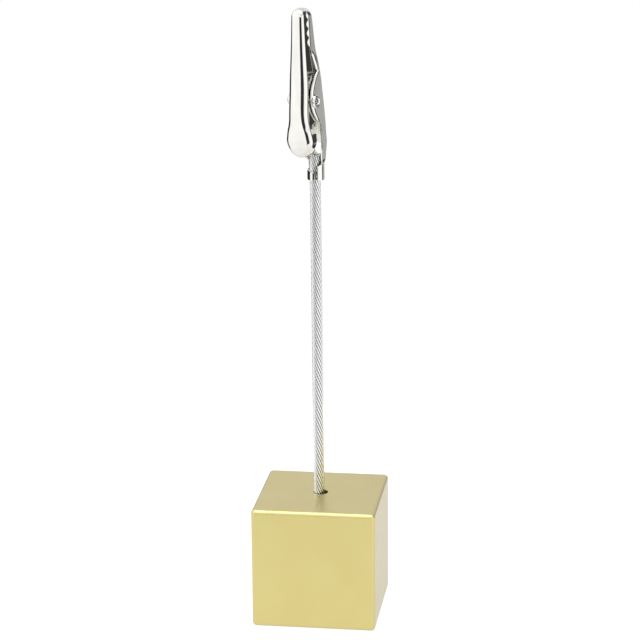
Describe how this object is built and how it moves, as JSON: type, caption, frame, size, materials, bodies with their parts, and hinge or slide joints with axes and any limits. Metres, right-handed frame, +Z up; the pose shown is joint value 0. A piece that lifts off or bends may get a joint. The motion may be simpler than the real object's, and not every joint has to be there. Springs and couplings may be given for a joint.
{
  "type": "table number holder",
  "caption": "Table number holder: a gold cube base, a stiff wire-rope stem and a sprung alligator clip that grips a card.",
  "frame": {"origin": "centre of the cube's bottom face", "axes": "+Z up the stem, -Y out of the cube's front face, +X to its right"},
  "size_m": [0.03, 0.03, 0.1498],
  "materials": {
    "gold_anodised": "satin gold anodised, fine blasted grain",
    "rope_wire": "bright drawn steel wire",
    "nickel_plate": "polished nickel plate on pressed steel sheet",
    "rivet_nickel": "nickel-plated, slightly duller on the rolled end",
    "spring_wire": "bright spring wire",
    "adhesive": "cured clear adhesive, dull"
  },
  "bodies": {
    "holder": {"base_cube": "gold_anodised", "adhesive_bond": "adhesive", "rope_core_wire": "rope_wire", "rope_inner_wire_01": "rope_wire", "rope_inner_wire_02": "rope_wire", "rope_inner_wire_03": "rope_wire", "rope_inner_wire_04": "rope_wire", "rope_inner_wire_05": "rope_wire", "rope_inner_wire_06": "rope_wire", "rope_outer_wire_01": "rope_wire", "rope_outer_wire_02": "rope_wire", "rope_outer_wire_03": "rope_wire", "rope_outer_wire_04": "rope_wire", "rope_outer_wire_05": "rope_wire", "rope_outer_wire_06": "rope_wire", "rope_outer_wire_07": "rope_wire", "rope_outer_wire_08": "rope_wire", "rope_outer_wire_09": "rope_wire", "rope_outer_wire_10": "rope_wire", "rope_outer_wire_11": "rope_wire", "rope_outer_wire_12": "rope_wire", "lower_jaw": "nickel_plate", "pivot_rivet": "rivet_nickel", "torsion_spring": "spring_wire"},
    "upper_jaw": {"upper_jaw": "nickel_plate"}
  },
  "joints": [
    {"name": "jaw_pivot", "type": "hinge", "parent": "holder", "child": "upper_jaw", "pos_m": [-0.00235, -0.00303, 0.12789], "axis": [0.891, -0.454, 0.0042], "range_deg": [0, 19], "stiffness_Nm_per_rad": 0.02, "springref_deg": -1.72, "deforming": ["torsion_spring"]}
  ]
}
